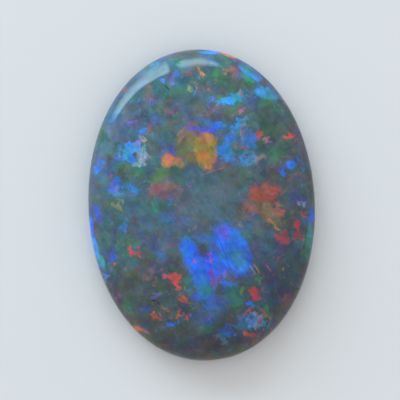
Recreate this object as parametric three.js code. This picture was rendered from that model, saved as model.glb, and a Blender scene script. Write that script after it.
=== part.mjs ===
// An oval opal cabochon: one polished stone with a flat base, a bevelled back edge and a low dome.
// Millimetres. +Z is up, the long axis lies along Y, and the origin is the middle of the flat base.
import * as THREE from "three";

// Size over all
const WIDTH = 13.1;
const LENGTH = 18.0;
const HEIGHT = 3.0;

// The outline, as an exponent: 2 is a true ellipse, and more is a little squarer at the corners
const OUTLINE_FULLNESS = 2.06;

// The back edge: a bevel ground under the girdle, so that the stone sits down into a setting
const BEVEL_HEIGHT = 0.6;
const BEVEL_INSET = 0.55;

// The girdle: a low wall that leans in as it rises and meets the dome
const GIRDLE_HEIGHT = 0.5;
const GIRDLE_LEAN = 0.04;

// The dome's section, as exponents: 2 and 2 are a quarter ellipse, and a fuller reach keeps the
// top flat and bends the shoulder close to the edge
const DOME_REACH = 2.4;
const DOME_RISE = 2.0;

// Flat faces that stand for the round surface
const SEGMENTS_AROUND = 96;
const RINGS_ON_DOME = 16;
const RINGS_ON_BASE = 3;

const HALF_WIDTH = WIDTH / 2;
const HALF_LENGTH = LENGTH / 2;
const DOME_FOOT = BEVEL_HEIGHT + GIRDLE_HEIGHT;

// Distance in from the outline, in mm, as a share of the half width that is left.
const shareAt = (inset) => 1 - inset / HALF_WIDTH;

// The stone's half section as (share of the half width, height), from the base's middle round the
// girdle to the top of the dome.
function halfSection() {
  const points = [];
  const baseShare = shareAt(BEVEL_INSET);
  for (let ring = 0; ring < RINGS_ON_BASE; ring++) {
    points.push(new THREE.Vector2((baseShare * ring) / RINGS_ON_BASE, 0));
  }
  points.push(new THREE.Vector2(baseShare, 0));
  points.push(new THREE.Vector2(1, BEVEL_HEIGHT));

  const domeShare = shareAt(GIRDLE_LEAN);
  const rise = HEIGHT - DOME_FOOT;
  for (let ring = 0; ring < RINGS_ON_DOME; ring++) {
    const angle = ((Math.PI / 2) * ring) / RINGS_ON_DOME;
    const share = domeShare * Math.cos(angle) ** (2 / DOME_REACH);
    const height = DOME_FOOT + rise * Math.sin(angle) ** (2 / DOME_RISE);
    points.push(new THREE.Vector2(share, height));
  }
  points.push(new THREE.Vector2(0, HEIGHT));
  return points;
}

// Half the length of the ring whose half width is this share of the stone's. Near the edge it
// shrinks by as many millimetres as the width does, so the shoulder is as broad at the stone's
// ends as along its sides.
function halfLengthAt(share) {
  return HALF_LENGTH * share + (HALF_LENGTH - HALF_WIDTH) * share * (1 - share);
}

// Turns the round lathe form into the oval one, ring by ring.
function makeOval(geometry) {
  const position = geometry.getAttribute("position");
  for (let i = 0; i < position.count; i++) {
    const share = Math.hypot(position.getX(i), position.getY(i));
    const turn = Math.atan2(position.getY(i), position.getX(i));
    const across = Math.cos(turn);
    const along = Math.sin(turn);
    const x = Math.sign(across) * Math.abs(across) ** (2 / OUTLINE_FULLNESS);
    const y = Math.sign(along) * Math.abs(along) ** (2 / OUTLINE_FULLNESS);
    position.setX(i, HALF_WIDTH * share * x);
    position.setY(i, halfLengthAt(share) * y);
  }
  geometry.computeVertexNormals();
  return geometry;
}

function opal() {
  const turned = new THREE.LatheGeometry(halfSection(), SEGMENTS_AROUND);
  turned.rotateX(Math.PI / 2);
  // A dusky blue-green body under a glassy polish
  const polish = new THREE.MeshStandardMaterial({
    color: new THREE.Color().setRGB(0.33, 0.41, 0.48, THREE.SRGBColorSpace),
    roughness: 0.08,
    metalness: 0,
  });
  const mesh = new THREE.Mesh(makeOval(turned), polish);
  mesh.name = "opal";
  return mesh;
}

const cabochon = new THREE.Group();
cabochon.add(opal());

export default cabochon;
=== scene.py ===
# %% [markdown]
# # A polished opal cabochon
# This file dresses one stone: an oval opal, ground flat at the back and polished to a low dome.
# Opal is clear to milky silica, and its colours come from sheets and grains inside it that split
# light. So the stone is made in two steps. A clear polished body carries the shape, the gloss and
# the bending of light, and a body of colour lies just under that polish.
# Everything is in metres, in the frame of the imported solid: X across the stone, Y along it, Z up.

# %% Open the frame that everything is built around
import math

import bmesh
import bpy
from mathutils import Matrix, Vector


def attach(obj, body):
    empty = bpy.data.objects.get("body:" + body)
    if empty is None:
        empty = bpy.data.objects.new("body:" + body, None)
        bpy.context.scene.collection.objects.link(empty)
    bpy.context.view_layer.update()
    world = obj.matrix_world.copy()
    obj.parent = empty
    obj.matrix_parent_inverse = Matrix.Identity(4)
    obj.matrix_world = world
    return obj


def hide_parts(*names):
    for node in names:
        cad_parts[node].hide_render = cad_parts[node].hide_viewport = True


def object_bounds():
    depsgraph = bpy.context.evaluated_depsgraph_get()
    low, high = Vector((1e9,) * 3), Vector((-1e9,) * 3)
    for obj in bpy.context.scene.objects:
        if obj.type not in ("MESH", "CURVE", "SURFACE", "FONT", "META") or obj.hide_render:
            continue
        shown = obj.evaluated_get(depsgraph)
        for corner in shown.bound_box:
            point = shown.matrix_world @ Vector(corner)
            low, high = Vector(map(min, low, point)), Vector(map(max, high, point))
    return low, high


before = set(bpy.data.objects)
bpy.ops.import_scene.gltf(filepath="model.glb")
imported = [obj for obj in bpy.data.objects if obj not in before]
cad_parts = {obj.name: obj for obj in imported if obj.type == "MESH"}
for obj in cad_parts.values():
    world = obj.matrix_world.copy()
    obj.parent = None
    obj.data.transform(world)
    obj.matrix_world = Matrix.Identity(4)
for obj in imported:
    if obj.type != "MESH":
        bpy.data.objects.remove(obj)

MM = 0.001
solid_low, solid_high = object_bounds()
HALF_WIDTH = solid_high.x
HALF_LENGTH = solid_high.y
HEIGHT = solid_high.z
print(f"the stone is {2e3 * HALF_WIDTH:.1f} x {2e3 * HALF_LENGTH:.1f} x {1e3 * HEIGHT:.1f} mm")

# %% [markdown]
# ## Camera
# The stone is seen from almost straight above through a long lens, so its oval is hardly
# distorted. A camera could also be placed and tracked by a constraint. A new camera looks straight
# down, so here its matrix is written out in order: go to the point aimed at, lean the long axis in
# the picture, tilt a little, then back away.

# %% Camera
VIEW_WIDTH = 23.04 * MM
CAMERA_DISTANCE = 150 * MM
NEAREST_SEEN = 10 * MM
CAMERA_TILT = math.radians(4)
LONG_AXIS_LEAN = math.radians(2.9)
AIM = Vector((-0.08, 0.27, 0.9)) * MM

camera_data = bpy.data.cameras.new("camera")
camera_data.lens = camera_data.sensor_width * CAMERA_DISTANCE / VIEW_WIDTH
camera_data.clip_start = NEAREST_SEEN
camera = bpy.data.objects.new("camera", camera_data)
bpy.context.scene.collection.objects.link(camera)
turn = Matrix.Rotation(-LONG_AXIS_LEAN, 4, "Z") @ Matrix.Rotation(CAMERA_TILT, 4, "X")
camera.matrix_world = Matrix.Translation(AIM) @ turn @ Matrix.Translation((0, 0, CAMERA_DISTANCE))
bpy.context.scene.camera = camera
print(f"the lens is {camera_data.lens:.0f} mm on a sensor {camera_data.sensor_width:.0f} mm wide")

# %% [markdown]
# ## Helpers for nodes and objects
# Every finish below is a tree of shader nodes, and a tree written node by node is long. So one
# short helper adds a node with its sockets filled, and another starts a material. A third turns a
# colour as a picture editor names it into the linear values that a shader works in, and a fourth
# makes an object of the scene from a finished bmesh. Other helpers follow where they are needed.

# %% Helpers for nodes and objects
def add(tree, kind, sockets=None, **settings):
    """Adds a node. A socket is given a plain value, or another node's output to take it from."""
    node = tree.nodes.new(kind)
    for name, value in settings.items():
        setattr(node, name, value)
    for name, value in (sockets or {}).items():
        if isinstance(value, bpy.types.NodeSocket):
            tree.links.new(value, node.inputs[name])
        else:
            node.inputs[name].default_value = value
    return node


def new_material(name):
    """A material with a Principled shader on its output."""
    material = bpy.data.materials.new(name)
    material.use_nodes = True
    tree = material.node_tree
    tree.nodes.clear()
    shader = add(tree, "ShaderNodeBsdfPrincipled")
    output = add(tree, "ShaderNodeOutputMaterial", {"Surface": shader.outputs["BSDF"]})
    return material, tree, shader, output


def srgb(red, green, blue):
    """A colour as a picture editor gives it, from 0 to 255, in the linear values of a shader."""
    shares = [channel / 255 for channel in (red, green, blue)]
    linear = [s / 12.92 if s <= 0.04045 else ((s + 0.055) / 1.055) ** 2.4 for s in shares]
    return (*linear, 1.0)


def new_object(name, bm):
    """Turns a finished bmesh into an object of the scene."""
    mesh = bpy.data.meshes.new(name)
    bm.to_mesh(mesh)
    bm.free()
    made = bpy.data.objects.new(name, mesh)
    bpy.context.scene.collection.objects.link(made)
    return made


print("nodes, materials and objects can be made")

# %% [markdown]
# ## Floor
# A plain pale floor lets the stone's own colour be judged. It lies a hair under the stone, so the
# two never share a plane, and it is staged, because it isn't part of the object. A little grey
# keeps it below pure white under these lights.

# %% Floor
FLOOR_HALF = 400 * MM
FLOOR_GAP = 0.02 * MM
FLOOR_COLOUR = srgb(222, 219, 213)
FLOOR_ROUGHNESS = 0.7

bm = bmesh.new()
bmesh.ops.create_grid(bm, x_segments=1, y_segments=1, size=FLOOR_HALF)
bmesh.ops.translate(bm, verts=bm.verts, vec=(0, 0, -FLOOR_GAP))
floor = new_object("floor", bm)
floor_paint, tree, shader, output = new_material("pale floor")
shader.inputs["Base Color"].default_value = FLOOR_COLOUR
shader.inputs["Roughness"].default_value = FLOOR_ROUGHNESS
floor.data.materials.append(floor_paint)
print(f"the floor is {2 * FLOOR_HALF:.1f} m wide")

# %% [markdown]
# ## Sums and ranges
# The cards of light fade towards their edges, and nodes work the fade out. One helper does a sum
# on numbers, and the other maps one range of numbers to another. The finishes use them too.

# %% Sums and ranges
def maths(tree, operation, *values):
    """A sum on numbers."""
    return add(tree, "ShaderNodeMath", dict(enumerate(values)), operation=operation).outputs[0]


def map_range(tree, value, start, end, low=0.0, high=1.0, ease="LINEAR"):
    """Maps the range from start to end to the one from low to high."""
    return add(
        tree, "ShaderNodeMapRange",
        {"Value": value, "From Min": start, "From Max": end, "To Min": low, "To Max": high},
        interpolation_type=ease,
    ).outputs[0]


print("sums and ranges can be made")

# %% [markdown]
# ## Lights
# A polished dome mirrors everything around it, so the lights are drawn as much for their
# reflections as for their light. The long highlight on the shoulder is a low window whose top
# edge slants down to one side. It is a glowing card here, because an area lamp can't be cut to
# that outline. A second, thinner band comes from a slightly dimmer card further round. The rest of
# the light is an even sky, which leaves no shape of its own on the polish.

# %% Lights
CARD_DISTANCE = 360 * MM


def glowing_card(name, direction, half_spread, tops, feet, fades, strength, colour):
    """
    A standing card of light, cut to an outline and fading towards its edges. All its angles are
    degrees as seen from the stone. Direction runs from +X towards +Y. Tops and feet are the
    heights of its upper and lower edge, from its end with the smaller direction to the other.
    Each fade is (0 across or 1 up, where it is dimmest, where it is full, how dim it gets).
    """
    bm = bmesh.new()
    bm.loops.layers.uv.new("across and up")
    bmesh.ops.create_grid(bm, x_segments=len(tops) - 1, y_segments=1, size=1, calc_uvs=True)
    half = CARD_DISTANCE * math.tan(math.radians(half_spread))
    far = CARD_DISTANCE / math.cos(math.radians(half_spread))
    facing = Matrix.Rotation(math.radians(direction), 4, "Z")
    for vert in bm.verts:
        edge = tops if vert.co.y > 0 else feet
        rises = edge[round((vert.co.x + 1) / 2 * (len(tops) - 1))]
        reach = CARD_DISTANCE + (far - CARD_DISTANCE) * abs(vert.co.x)
        height = reach * math.tan(math.radians(rises))
        vert.co = facing @ Vector((CARD_DISTANCE, half * vert.co.x, height))
    card = new_object(name, bm)
    card.visible_camera = False
    material, tree, shader, output = new_material(name)
    spot = add(tree, "ShaderNodeSeparateXYZ", {0: add(tree, "ShaderNodeUVMap").outputs[0]})
    fade = None
    for axis, start, full, least in fades:
        ramp = map_range(tree, spot.outputs[axis], start, full, least, 1.0, "SMOOTHSTEP")
        fade = maths(tree, "MULTIPLY", fade, ramp) if fade else ramp
    power = maths(tree, "MULTIPLY", fade, strength)
    glow = add(tree, "ShaderNodeEmission", {"Color": colour, "Strength": power})
    tree.links.new(glow.outputs["Emission"], output.inputs["Surface"])
    card.data.materials.append(material)


DAYLIGHT = srgb(206, 233, 255)
SKY_COLOUR = srgb(243, 247, 255)
SKY_STRENGTH = 0.85

glowing_card(
    "window", 128, 22, (39, 37, 32, 26, 22), (0, 0, 0, 0, 0),
    ((0, 0.0, 0.06, 0.1), (0, 1.0, 0.82, 0.05), (1, 1.0, 0.88, 0.3), (1, 0.0, 0.8, 0.3)), 9.5, DAYLIGHT,
)
glowing_card(
    "second window", 86, 17, (33, 35, 37, 39, 38), (26, 18, 12, 14, 20),
    ((0, 0.0, 0.3, 0.1), (0, 1.0, 0.85, 0.1), (1, 0.0, 0.5, 0.2), (1, 1.0, 0.6, 0.3)), 9.0, DAYLIGHT,
)

world = bpy.data.worlds.new("studio")
world.use_nodes = True
backdrop = world.node_tree.nodes["Background"]
backdrop.inputs["Color"].default_value = SKY_COLOUR
backdrop.inputs["Strength"].default_value = SKY_STRENGTH
bpy.context.scene.world = world
bpy.context.scene.view_settings.view_transform = "Standard"
print("the sky and two cards of light are in place")

# %% [markdown]
# ## The shape of a cabochon
# A cabochon is ground in this order: a flat back, a bevel round it that lets the stone sit down
# in a setting, a short wall called the girdle, and the dome. Its half section is therefore one
# short line of points, and spinning that line round the upright axis makes a round stone. Each
# ring is then stretched to the oval, as the cutter's template does. The form could be a scaled
# sphere, but then the shoulder would be about a third wider at the ends than along the sides.

# %% Sizes of the cut
OUTLINE_FULLNESS = 2.06
BEVEL_HEIGHT = 0.6 * MM
BEVEL_INSET = 0.55 * MM
GIRDLE_HEIGHT = 0.5 * MM
GIRDLE_LEAN = 0.04 * MM
DOME_REACH = 2.4
DOME_RISE = 2.0
STEPS_AROUND = 256
RINGS_ON_DOME = 40
RINGS_ON_BASE = 6
RINGS_ON_BOWL = 12
SHARP = math.radians(25)
WORN_STEPS = 3
SAME_PLACE = 1e-7
ON_AXIS = 1e-9


def in_oval(place):
    """Moves a point of the round form to where it lies on the oval stone."""
    share = math.hypot(place.x, place.y) / HALF_WIDTH
    if share < ON_AXIS:
        return place
    turn = math.atan2(place.y, place.x)
    across = math.copysign(abs(math.cos(turn)) ** (2 / OUTLINE_FULLNESS), math.cos(turn))
    along = math.copysign(abs(math.sin(turn)) ** (2 / OUTLINE_FULLNESS), math.sin(turn))
    half_length = HALF_LENGTH * share + (HALF_LENGTH - HALF_WIDTH) * share * (1 - share)
    return Vector((HALF_WIDTH * share * across, half_length * along, place.z))


def dome(reach, foot, top):
    """The dome's half section, from its foot to its top."""
    points = []
    for ring in range(RINGS_ON_DOME + 1):
        angle = (math.pi / 2) * ring / RINGS_ON_DOME
        out = reach * max(math.cos(angle), 0) ** (2 / DOME_REACH) if ring < RINGS_ON_DOME else 0.0
        points.append((out, foot + (top - foot) * math.sin(angle) ** (2 / DOME_RISE)))
    return points


def spun_oval(name, section, softened=0.0):
    """Spins a half section, given as (distance from the middle, height), and makes it oval."""
    bm = bmesh.new()
    corners = [bm.verts.new((reach, 0, height)) for reach, height in section]
    edges = [bm.edges.new(pair) for pair in zip(corners, corners[1:])]
    bmesh.ops.spin(
        bm, geom=corners + edges, cent=(0, 0, 0), axis=(0, 0, 1), dvec=(0, 0, 0),
        angle=2 * math.pi, steps=STEPS_AROUND, use_merge=True, use_duplicate=False,
    )
    bmesh.ops.remove_doubles(bm, verts=bm.verts, dist=SAME_PLACE)
    bmesh.ops.recalc_face_normals(bm, faces=bm.faces)
    if softened:
        sharp = [edge for edge in bm.edges if edge.calc_face_angle(0) > SHARP]
        bmesh.ops.bevel(
            bm, geom=sharp, offset=softened, offset_type="OFFSET", segments=WORN_STEPS, profile=0.5,
            affect="EDGES", material=-1, clamp_overlap=True,
        )
    for vert in bm.verts:
        vert.co = in_oval(vert.co)
    for face in bm.faces:
        face.smooth = True
    piece = new_object(name, bm)
    print(f"{name}: {len(piece.data.vertices)} points, {len(piece.data.polygons)} faces")
    return piece


# %% [markdown]
# ## The polished body
# This is the stone's outside: the surface that fingers and cloth touch. The two sharp lines of
# the grinding, under the girdle and round the back, are worn by the polish over less than a tenth
# of a millimetre.

# %% The polished body
EDGE_WEAR = 0.07 * MM

base_reach = HALF_WIDTH - BEVEL_INSET
dome_foot = BEVEL_HEIGHT + GIRDLE_HEIGHT
section = [(base_reach * ring / RINGS_ON_BASE, 0.0) for ring in range(RINGS_ON_BASE + 1)]
section.append((HALF_WIDTH, BEVEL_HEIGHT))
section += dome(HALF_WIDTH - GIRDLE_LEAN, dome_foot, HEIGHT)
polished = spun_oval("polished_opal", section, softened=EDGE_WEAR)
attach(polished, "root")
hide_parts("opal")

# %% [markdown]
# ## The body of colour
# The colours of precious opal lie at many depths, and the ones nearest the surface hide the rest.
# One surface just under the polish stands for them all. It keeps further from the edge than from
# the top, so the stone ends in a thin, clearer rim that lets light through. Its underside is a
# shallow bowl, because the layer thins out towards the girdle.

# %% The body of colour
SKIN = 0.15 * MM
SIDE_SKIN = 0.26 * MM
RIM_SKIN = 0.80 * MM
BACK_SKIN = 0.40 * MM
FOOT_SKIN = 0.1 * MM
RIM_LIP = 0.02 * MM

inner_foot = dome_foot - FOOT_SKIN
inner_reach = HALF_WIDTH - SIDE_SKIN
bowl = RIM_SKIN - BACK_SKIN
shares = [ring / RINGS_ON_BOWL for ring in range(RINGS_ON_BOWL)]
section = [(inner_reach * share, BACK_SKIN + bowl * share ** 3) for share in shares]
section.append((inner_reach - RIM_LIP, RIM_SKIN))
section += dome(inner_reach, inner_foot, HEIGHT - SKIN)
colour_body = spun_oval("play_of_colour", section)
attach(colour_body, "root")

# %% [markdown]
# ## The polish
# Gem polish is glass-like: plain transmission, an index of refraction of 1.45 and a faint
# absorption that dusks the thicker rim. Under a lens it is never perfect. It keeps a slow
# undulation from the lap and pinprick pits where grains pulled out, which are deepest on one part
# of the shoulder. Both are far smaller than the form, so they are a bump and not mesh. Three
# helpers come first, for a noise, for cells and for a number that is measured on vectors.

# %% Noise, cells and measures
def noise(tree, place, scale, detail=2.0, roughness=0.5):
    """A smooth random field, which gives a number as Fac and a colour."""
    sockets = {"Vector": place, "Scale": scale, "Detail": detail, "Roughness": roughness}
    return add(tree, "ShaderNodeTexNoise", sockets).outputs


def cells(tree, place, scale):
    """Cells of about 1 / scale, which give a random colour each and the distance to the middle."""
    return add(tree, "ShaderNodeTexVoronoi", {"Vector": place, "Scale": scale}).outputs


def vector_number(tree, operation, *values):
    """A sum on vectors that gives a number, such as a length or a dot product."""
    node = add(tree, "ShaderNodeVectorMath", dict(enumerate(values)), operation=operation)
    return node.outputs["Value"]


print("noise, cells and measures can be made")

# %% The polish
REFRACTION = 1.45
WAVINESS = 0.004 * MM
PIT_DEPTH = 0.02 * MM
PITS_PER_MM = 3.2
PIT_REACH = 0.22
PITTED_SPOT = Vector((-2.7, 7.3, 2.1)) * MM
PITTED_TO = 0.5 * MM
UNPITTED_FROM = 1.5 * MM
FAINT_PITS = 0.1
WHITE = (1, 1, 1, 1)
DUSK = (0.62, 0.74, 0.80, 1)
DUSK_DENSITY = 300.0
WAVES_PER_METRE = 420.0
SMEARS_PER_METRE = 900.0
BEST_GLOSS = 0.015
WORST_GLOSS = 0.05

glass, tree, shader, output = new_material("polished opal")
shader.inputs["Base Color"].default_value = WHITE
shader.inputs["IOR"].default_value = REFRACTION
shader.inputs["Transmission Weight"].default_value = 1.0
place = add(tree, "ShaderNodeTexCoord").outputs["Object"]
slow = noise(tree, place, WAVES_PER_METRE)
waves = maths(tree, "MULTIPLY", slow["Fac"], WAVINESS)
grit = cells(tree, place, PITS_PER_MM / MM)
pit = map_range(tree, grit["Distance"], 0.0, PIT_REACH, -PIT_DEPTH, 0.0)
away = vector_number(tree, "DISTANCE", place, PITTED_SPOT)
pitted = map_range(tree, away, PITTED_TO, UNPITTED_FROM, 1.0, FAINT_PITS)
relief = maths(tree, "MULTIPLY_ADD", pit, pitted, waves)
bump = add(tree, "ShaderNodeBump", {"Height": relief, "Distance": 1.0, "Strength": 1.0})
tree.links.new(bump.outputs["Normal"], shader.inputs["Normal"])
handled = noise(tree, place, SMEARS_PER_METRE, 3.0)
gloss = map_range(tree, handled["Fac"], 0.45, 0.7, BEST_GLOSS, WORST_GLOSS)
tree.links.new(gloss, shader.inputs["Roughness"])
absorb = add(tree, "ShaderNodeVolumeAbsorption", {"Color": DUSK, "Density": DUSK_DENSITY})
tree.links.new(absorb.outputs["Volume"], output.inputs["Volume"])
polished.data.materials.append(glass)
polished.visible_shadow = False
print(f"the polish takes {len(tree.nodes)} nodes")

# %% [markdown]
# ## The palette
# Each colour is the light that one size of silica grain sends back. The smallest give violet and
# blue, larger ones green, and the largest orange and red. The dusky ones are the body tone between
# the flashes. They are named once here, and most patches below are laid in two of them.

# %% The palette
SLATE = srgb(82, 104, 116)
TEAL = srgb(54, 108, 104)
DEEP_TEAL = srgb(54, 92, 84)
NAVY = srgb(58, 76, 110)
HAZE = srgb(96, 114, 126)
SMOKE = srgb(88, 84, 84)
MOSS = srgb(66, 88, 66)
SHADE = srgb(62, 76, 76)
BARK = srgb(94, 82, 74)
DUSK_BLUE = srgb(60, 106, 156)
AZURE = srgb(34, 134, 228)
SKY = srgb(70, 166, 206)
TURQUOISE = srgb(40, 146, 166)
CORNFLOWER = srgb(52, 112, 208)
ROYAL = srgb(40, 90, 204)
BLUE = srgb(26, 106, 248)
VIOLET = srgb(88, 88, 204)
LILAC = srgb(128, 112, 186)
SEA = srgb(42, 128, 98)
LEAF = srgb(74, 138, 72)
LIME = srgb(124, 158, 60)
OLIVE = srgb(106, 116, 62)
GOLD = srgb(200, 136, 46)
BRASS = srgb(142, 110, 74)
SAND = srgb(176, 162, 104)
AMBER = srgb(196, 128, 58)
ORANGE = srgb(218, 124, 78)
TAN = srgb(162, 108, 92)
RUST = srgb(144, 90, 70)
ROSEWOOD = srgb(126, 90, 104)
RED_CLAY = srgb(192, 84, 74)
CORAL = srgb(216, 88, 80)
RED = srgb(224, 64, 66)
CRIMSON = srgb(196, 56, 80)
MAGENTA = srgb(178, 72, 156)
PINK = srgb(200, 130, 136)
LINT = srgb(24, 28, 34)
ICE = srgb(122, 190, 216)
print("the palette is named")

# %% [markdown]
# ## Places on the stone
# Every patch in opal ends where one packet of grains meets the next, in small angular steps. So
# the place at which the patches are tested is itself pushed about: gently by a broad noise, and
# then by a step that is the same all over each small cell, at two sizes of cell. A noise frays
# the outlines a little more. The same fields serve all the patches, so they are worked out once,
# in a node group. In Blender 4.5 a group declares its sockets on its interface.

# %% Groups and vectors
SOCKETS = {"number": "NodeSocketFloat", "vector": "NodeSocketVector", "colour": "NodeSocketColor"}


def new_group(name, takes, gives):
    """A node group with named sockets, and what it is given inside."""
    group = bpy.data.node_groups.new(name, "ShaderNodeTree")
    for way, sockets in (("INPUT", takes), ("OUTPUT", gives)):
        for label, sort in sockets.items():
            group.interface.new_socket(label, in_out=way, socket_type=SOCKETS[sort])
    return group, group.nodes.new("NodeGroupInput").outputs


def vector_maths(tree, operation, *values):
    """A sum on vectors that gives a vector."""
    return add(tree, "ShaderNodeVectorMath", dict(enumerate(values)), operation=operation).outputs[0]


def scaled(tree, vector, factor):
    """A vector made longer or shorter."""
    return add(
        tree, "ShaderNodeVectorMath", {0: vector, "Scale": factor}, operation="SCALE",
    ).outputs[0]


def lots(tree, colour):
    """The three random numbers that a cell's colour holds."""
    return add(tree, "ShaderNodeSeparateColor", {0: colour}).outputs


print("groups can be made, with sockets for", ", ".join(SOCKETS))

# %% Places on the stone
BROAD_PER_MM = 1.3
BROAD_PUSH = 0.7
SHARD_PUSH = 0.34
CHIP_PUSH = 0.13
EVEN_SHARE = 0.15
SHARDS_PER_MM = 2.9
CHIPS_PER_MM = 8.5
CHIP_SHARE = 0.4
FRAYS_PER_MM = 4.0
FRAY_GAIN = 1.8
FRAY_LEVEL = -0.98
DRIFTS_PER_MM = 1.2
MIDDLE = (0.5, 0.5, 0.5)


def pushed_by(tree, place, colour, reach):
    """A place pushed by a random colour, up to half the reach each way, and the push itself."""
    level = vector_maths(tree, "SUBTRACT", colour, MIDDLE)
    push = scaled(tree, level, reach)
    return vector_maths(tree, "ADD", place, push), push


ragged_place, given = new_group(
    "Ragged place", {"Place": "vector"},
    {"Place": "vector", "Fray": "number", "Shards": "number", "Play": "vector", "Even Place": "vector"},
)
group = ragged_place
place = given["Place"]
broad = noise(group, place, BROAD_PER_MM, 3.0)
pushed, push = pushed_by(group, place, broad["Color"], BROAD_PUSH)
even = vector_maths(group, "ADD", place, scaled(group, push, EVEN_SHARE))
shard = cells(group, pushed, SHARDS_PER_MM)
stepped, _ = pushed_by(group, pushed, shard["Color"], SHARD_PUSH)
chip = cells(group, pushed, CHIPS_PER_MM)
chipped, _ = pushed_by(group, stepped, chip["Color"], CHIP_PUSH)
frays = noise(group, chipped, FRAYS_PER_MM, 4.0, 0.7)
fray = maths(group, "MULTIPLY_ADD", frays["Fac"], FRAY_GAIN, FRAY_LEVEL)
plays = noise(group, pushed, DRIFTS_PER_MM)
shard_lots = lots(group, shard["Color"])
chip_lots = lots(group, chip["Color"])
dealt = add(group, "ShaderNodeMix", {"A": shard_lots[0], "B": chip_lots[0], "Factor": CHIP_SHARE})
add(group, "NodeGroupOutput", {
    "Place": chipped, "Fray": fray, "Shards": dealt.outputs[0], "Play": plays["Color"],
    "Even Place": even,
})
print(f"the place is pushed about by {len(group.nodes)} nodes")

# %% [markdown]
# ## Strokes
# Many patches are combed with fine parallel strokes, where the packets of grains lie in thin
# sheets on edge. A noise that is drawn out along one direction gives them. Three directions are
# enough for the whole stone.

# %% Strokes
STROKE_STARTS = 0.44
STROKE_FULL = 0.56


def own_measure(tree, place, size, turn=(0, 0, 0), middle=(0, 0, 0)):
    """A place as told from a middle, along turned directions and in the given sizes."""
    sockets = {"Vector": place, "Location": middle, "Rotation": turn, "Scale": size}
    return add(tree, "ShaderNodeMapping", sockets, vector_type="TEXTURE").outputs[0]


stroke_group, given = new_group(
    "Strokes", {"Place": "vector", "Turn": "vector", "Length": "number", "Width": "number"},
    {"Strokes": "number"},
)
size = add(
    stroke_group, "ShaderNodeCombineXYZ", {0: given["Length"], 1: given["Width"], 2: given["Length"]},
)
drawn_out = own_measure(stroke_group, given["Place"], size.outputs[0], given["Turn"])
lines = noise(stroke_group, drawn_out, 1.0)
stroke = map_range(stroke_group, lines["Fac"], STROKE_STARTS, STROKE_FULL)
add(stroke_group, "NodeGroupOutput", {"Strokes": stroke})
print(f"the strokes take {len(stroke_group.nodes)} nodes")

# %% [markdown]
# ## Flash
# One flash is a patch of colour with a middle, a length and a width. Two directions, each divided
# by the patch's reach that way, turn the place into the patch's own measure, where its outline
# lies at a distance of one. The place is first shifted a hair by the colour under it, so a patch's
# edge catches on the fields that it crosses. The fray is added, the outline is softened, and the
# patch's second colour is dealt out to its shards. What lies under it shows where the patch ends.
# It could be painted as a picture, but then it would be only as sharp as its dots.

# %% Flash
CATCH = (0.15, 0.15, 0.15)
GONE_AT = 1.08


def mix_colours(tree, under, over, share):
    """One colour laid over another."""
    sockets = {"A": under, "B": over, "Factor": share}
    return add(tree, "ShaderNodeMix", sockets, data_type="RGBA").outputs["Result"]


flash_group, given = new_group(
    "Flash",
    {"Under": "colour", "Place": "vector", "Fray": "number", "Shards": "number",
     "Strokes": "number", "Middle": "vector", "Along": "vector", "Across": "vector",
     "Solid To": "number", "Raggedness": "number", "Streak": "number", "Strength": "number",
     "Colour": "colour", "Second Colour": "colour"},
    {"Colour": "colour"},
)
group = flash_group
caught = vector_maths(group, "MULTIPLY_ADD", given["Under"], CATCH, given["Place"])
centred = vector_maths(group, "SUBTRACT", caught, given["Middle"])
along = vector_number(group, "DOT_PRODUCT", centred, given["Along"])
across = vector_number(group, "DOT_PRODUCT", centred, given["Across"])
own = add(group, "ShaderNodeCombineXYZ", {0: along, 1: across})
far = vector_number(group, "LENGTH", own.outputs[0])
frayed = maths(group, "MULTIPLY_ADD", given["Fray"], given["Raggedness"], far)
cover = map_range(group, frayed, given["Solid To"], GONE_AT, 1.0, 0.0, "SMOOTHSTEP")
combed = add(group, "ShaderNodeMix", {"A": 1.0, "B": given["Strokes"], "Factor": given["Streak"]})
weight = maths(group, "MULTIPLY", cover, combed.outputs[0])
laid = maths(group, "MULTIPLY", weight, given["Strength"])
first = mix_colours(group, given["Under"], given["Colour"], laid)
dealt = maths(group, "MULTIPLY", laid, given["Shards"])
both = mix_colours(group, first, given["Second Colour"], dealt)
add(group, "NodeGroupOutput", {"Colour": both})
print(f"one flash takes {len(group.nodes)} nodes")

# %% [markdown]
# ## Grain
# Between the named patches the stone is full of smaller ones, too many to name. Cells of a Voronoi
# texture stand for the packets of grains: each gets a random colour from a row of opal colours,
# and most are left out. The same group serves at several sizes, and drawn out in one direction it
# gives needles.

# %% Grain
OPAL_ROW = [
    (0.00, AZURE), (0.11, DUSK_BLUE), (0.27, CORNFLOWER), (0.34, TURQUOISE), (0.47, SEA),
    (0.62, LEAF), (0.69, OLIVE), (0.74, LILAC), (0.78, ROSEWOOD), (0.84, TAN), (0.89, RUST),
    (0.94, CORAL), (0.98, SAND),
]
CHIP_SOLID_TO = 0.30
CHIP_GONE_AT = 0.62


def colour_row(tree, lot, row, steps="LINEAR"):
    """Turns a random number into a colour, from a row of (place from 0 to 1, colour)."""
    node = add(tree, "ShaderNodeValToRGB", {"Fac": lot})
    node.color_ramp.interpolation = steps
    while len(node.color_ramp.elements) < len(row):
        node.color_ramp.elements.new(0.5)
    for stop, (at, colour) in zip(node.color_ramp.elements, row):
        stop.position = at
        stop.color = colour
    return node.outputs["Color"]


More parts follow.
